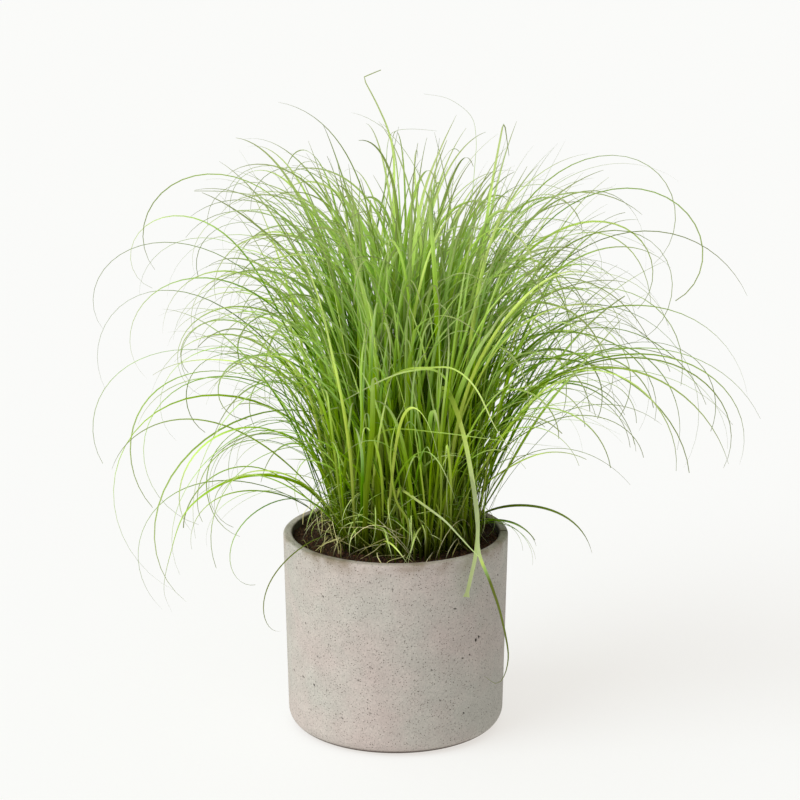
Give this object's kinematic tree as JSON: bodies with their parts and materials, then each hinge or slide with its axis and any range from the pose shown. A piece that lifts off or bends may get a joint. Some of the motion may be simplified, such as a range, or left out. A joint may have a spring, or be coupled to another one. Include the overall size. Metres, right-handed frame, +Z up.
{
  "type": "potted sedge plant",
  "caption": "Dense tuft of long, narrow, arching sedge leaves growing from dark soil in a plain cylindrical concrete pot.",
  "frame": {"origin": "middle of the pot's flat foot, on the surface that the pot stands on", "axes": "+Z up along the pot's axis, -Z out of the flat foot; the picture looks along +Y with +X to the right"},
  "size_m": [0.4458, 0.3778, 0.4352],
  "materials": {
    "concrete": "matte cast concrete with fine pits and specks",
    "soil": "matte, crumbly potting soil",
    "leaf": "satin green leaf"
  },
  "bodies": {
    "root": {"pot": "concrete", "soil": "soil", "shoot_01": "leaf", "shoot_02": "leaf", "shoot_03": "leaf", "shoot_04": "leaf", "shoot_05": "leaf", "shoot_06": "leaf", "shoot_07": "leaf", "shoot_08": "leaf", "shoot_09": "leaf", "shoot_10": "leaf", "shoot_11": "leaf", "shoot_12": "leaf", "shoot_13": "leaf", "shoot_14": "leaf", "shoot_15": "leaf", "shoot_16": "leaf", "shoot_17": "leaf", "shoot_18": "leaf", "shoot_19": "leaf", "shoot_20": "leaf", "shoot_21": "leaf", "shoot_22": "leaf", "shoot_23": "leaf", "shoot_24": "leaf", "shoot_25": "leaf", "shoot_26": "leaf", "shoot_27": "leaf", "shoot_28": "leaf", "shoot_29": "leaf", "shoot_30": "leaf", "shoot_31": "leaf", "shoot_32": "leaf", "shoot_33": "leaf", "shoot_34": "leaf", "shoot_35": "leaf", "shoot_36": "leaf", "shoot_37": "leaf", "shoot_38": "leaf", "shoot_39": "leaf", "shoot_40": "leaf", "shoot_41": "leaf", "shoot_42": "leaf", "shoot_43": "leaf", "shoot_44": "leaf", "shoot_45": "leaf", "shoot_46": "leaf", "shoot_47": "leaf", "shoot_48": "leaf", "shoot_49": "leaf", "shoot_50": "leaf", "shoot_51": "leaf", "shoot_52": "leaf", "shoot_53": "leaf", "shoot_54": "leaf"}
  },
  "joints": []
}
